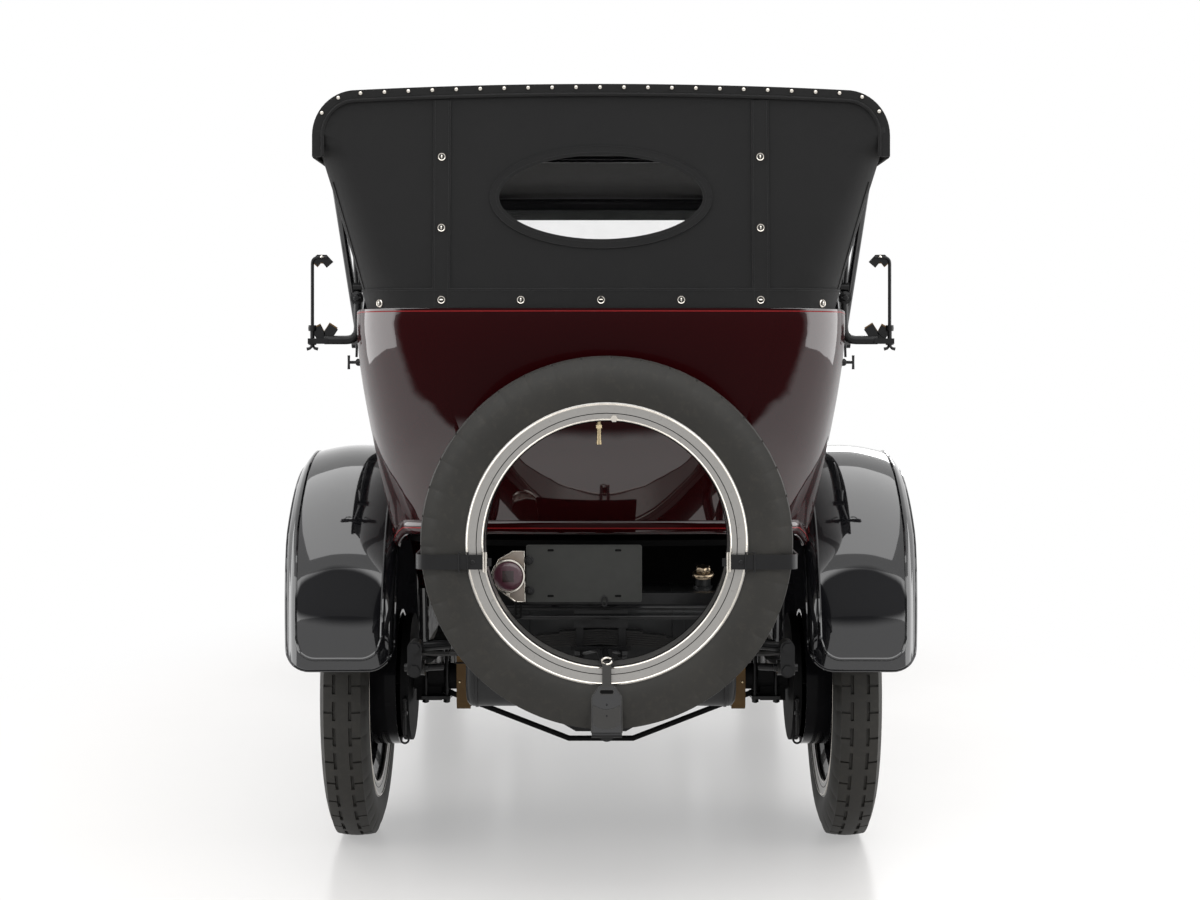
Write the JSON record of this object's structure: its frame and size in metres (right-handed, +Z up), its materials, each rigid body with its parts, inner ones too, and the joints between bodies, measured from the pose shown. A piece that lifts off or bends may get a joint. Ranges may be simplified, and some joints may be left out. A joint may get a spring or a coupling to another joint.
{
  "type": "1920s open touring car",
  "caption": "Open touring car with fixed cloth top, wood-spoked wheels, four doors, two-sided bonnet, steering and a rear spare on a rim carrier.",
  "frame": {"origin": "on the road at the middle of the car's length and width", "axes": "+Y ahead, +Z up, +X to the car's right"},
  "size_m": [1.742, 4.8549, 2.1318],
  "materials": {
    "tyre": "worn matt tread, smooth sidewall",
    "wheel_black": "gloss black enamel",
    "rim_silver": "silver paint",
    "chassis_black": "semi-gloss black",
    "spring_steel": "oily steel",
    "axle_black": "painted casting",
    "body_maroon": "deep gloss maroon with a thin red line",
    "fender_black": "gloss black enamel",
    "top_cloth": "black coated cloth",
    "leather_black": "pleated black leather",
    "leather_brown": "brown strap leather",
    "glass": "clear",
    "nickel": "polished nickel",
    "brass": "polished",
    "wood": "varnished",
    "plate_grey": "bare dark plate",
    "engine_grey": "painted casting",
    "tank_grey": "grey paint",
    "core_brass": "dull honeycomb",
    "board_black": "ribbed mat"
  },
  "bodies": {
    "chassis": {"frame_rails": "chassis_black", "frame_cross_members": "chassis_black", "front_axle": "axle_black", "front_springs": "spring_steel", "rear_axle": "axle_black", "rear_side_springs": "spring_steel", "rear_cross_spring": "spring_steel", "rebound_straps": "leather_brown", "engine_block": "engine_grey", "drive_line": "chassis_black", "exhaust": "chassis_black", "fuel_tank": "tank_grey", "radiator_core": "core_brass", "radiator_surround": "nickel", "body_tub": "body_maroon", "floor_boards": "wood", "front_seat": "leather_black", "rear_seat": "leather_black", "windshield_frame": "fender_black", "windshield_glass": "glass", "top_cover": "top_cloth", "rear_curtain": "top_cloth", "rear_window": "glass", "top_bows": "fender_black", "top_rests": "fender_black", "fender_front_left": "fender_black", "fender_front_right": "fender_black", "fender_rear_left": "fender_black", "fender_rear_right": "fender_black", "running_boards": "board_black", "headlamps": "fender_black", "tail_lamp": "nickel", "number_plate": "plate_grey", "spare_tyre": "tyre", "spare_rim": "rim_silver", "spare_carrier": "chassis_black", "driver_controls": "fender_black", "bonnet_rod": "nickel"},
    "road_wheel_front_left": {"wheel_front_left": "wheel_black", "tyre_front_left": "tyre"},
    "road_wheel_front_right": {"wheel_front_right": "wheel_black", "tyre_front_right": "tyre"},
    "road_wheel_rear_left": {"wheel_rear_left": "wheel_black", "tyre_rear_left": "tyre"},
    "road_wheel_rear_right": {"wheel_rear_right": "wheel_black", "tyre_rear_right": "tyre"},
    "knuckle_left": {"knuckle_left": "axle_black"},
    "knuckle_right": {"knuckle_right": "axle_black"},
    "tie_rod": {"tie_rod": "axle_black"},
    "steering_wheel": {"steering_wheel": "wood"},
    "door_front_left": {"door_front_left": "body_maroon"},
    "door_front_right": {"door_front_right": "body_maroon"},
    "door_rear_left": {"door_rear_left": "body_maroon"},
    "door_rear_right": {"door_rear_right": "body_maroon"},
    "bonnet_top_left": {"bonnet_top_left": "body_maroon"},
    "bonnet_side_left": {"bonnet_side_left": "body_maroon"},
    "bonnet_top_right": {"bonnet_top_right": "body_maroon"},
    "bonnet_side_right": {"bonnet_side_right": "body_maroon"}
  },
  "joints": [
    {"name": "spin_front_left", "type": "hinge", "parent": "knuckle_left", "child": "road_wheel_front_left", "pos_m": [-0.711, 1.832, 0.46], "axis": [1, 0, 0], "continuous": true},
    {"name": "spin_front_right", "type": "hinge", "parent": "knuckle_right", "child": "road_wheel_front_right", "pos_m": [0.711, 1.832, 0.46], "axis": [1, 0, 0], "continuous": true},
    {"name": "spin_rear_left", "type": "hinge", "parent": "chassis", "child": "road_wheel_rear_left", "pos_m": [-0.711, -1.343, 0.46], "axis": [1, 0, 0], "continuous": true},
    {"name": "spin_rear_right", "type": "hinge", "parent": "chassis", "child": "road_wheel_rear_right", "pos_m": [0.711, -1.343, 0.46], "axis": [1, 0, 0], "continuous": true},
    {"name": "steer_left", "type": "hinge", "parent": "chassis", "child": "knuckle_left", "pos_m": [-0.6, 1.832, 0.46], "axis": [0, 0, 1], "range_deg": [-30, 30]},
    {"name": "steer_right", "type": "hinge", "parent": "chassis", "child": "knuckle_right", "pos_m": [0.6, 1.832, 0.46], "axis": [0, 0, 1], "range_deg": [-30, 30]},
    {"name": "tie_rod_swing", "type": "hinge", "parent": "knuckle_left", "child": "tie_rod", "pos_m": [-0.6, 1.674, 0.385], "axis": [0, 0, 1], "range_deg": [-30, 30]},
    {"name": "steering_wheel_turn", "type": "hinge", "parent": "chassis", "child": "steering_wheel", "pos_m": [-0.298, 0.075, 1.29], "axis": [0, -0.766, 0.6429], "range_deg": [-450, 450]},
    {"name": "door_front_left_swing", "type": "hinge", "parent": "chassis", "child": "door_front_left", "pos_m": [-0.59241, 0.2145, 1.1], "axis": [0, 0, -1], "range_deg": [0, 65]},
    {"name": "door_front_right_swing", "type": "hinge", "parent": "chassis", "child": "door_front_right", "pos_m": [0.59241, 0.2145, 1.1], "axis": [0, 0, 1], "range_deg": [0, 65]},
    {"name": "door_rear_left_swing", "type": "hinge", "parent": "chassis", "child": "door_rear_left", "pos_m": [-0.664, -0.4855, 1.1], "axis": [0, 0, -1], "range_deg": [0, 65]},
    {"name": "door_rear_right_swing", "type": "hinge", "parent": "chassis", "child": "door_rear_right", "pos_m": [0.664, -0.4855, 1.1], "axis": [0, 0, 1], "range_deg": [0, 65]},
    {"name": "bonnet_top_left_lift", "type": "hinge", "parent": "chassis", "child": "bonnet_top_left", "pos_m": [0, 1.157, 1.3275], "axis": [0, 1, 0], "range_deg": [0, 60]},
    {"name": "bonnet_side_left_fold", "type": "hinge", "parent": "bonnet_top_left", "child": "bonnet_side_left", "pos_m": [-0.3285, 1.229, 1.15], "axis": [0.0344, 0.9994, 0], "range_deg": [-60, 0]},
    {"name": "bonnet_top_right_lift", "type": "hinge", "parent": "chassis", "child": "bonnet_top_right", "pos_m": [0, 1.157, 1.3275], "axis": [0, -1, 0], "range_deg": [0, 60]},
    {"name": "bonnet_side_right_fold", "type": "hinge", "parent": "bonnet_top_right", "child": "bonnet_side_right", "pos_m": [0.3285, 1.229, 1.15], "axis": [0.0344, -0.9994, 0], "range_deg": [-60, 0]}
  ],
  "couplings": [
    {"joint": "steer_right", "follows": "steer_left", "ratio": 1},
    {"joint": "tie_rod_swing", "follows": "steer_left", "ratio": -1},
    {"joint": "steering_wheel_turn", "follows": "steer_left", "ratio": 15},
    {"joint": "bonnet_side_left_fold", "follows": "bonnet_top_left_lift", "ratio": -1},
    {"joint": "bonnet_side_right_fold", "follows": "bonnet_top_right_lift", "ratio": -1}
  ]
}
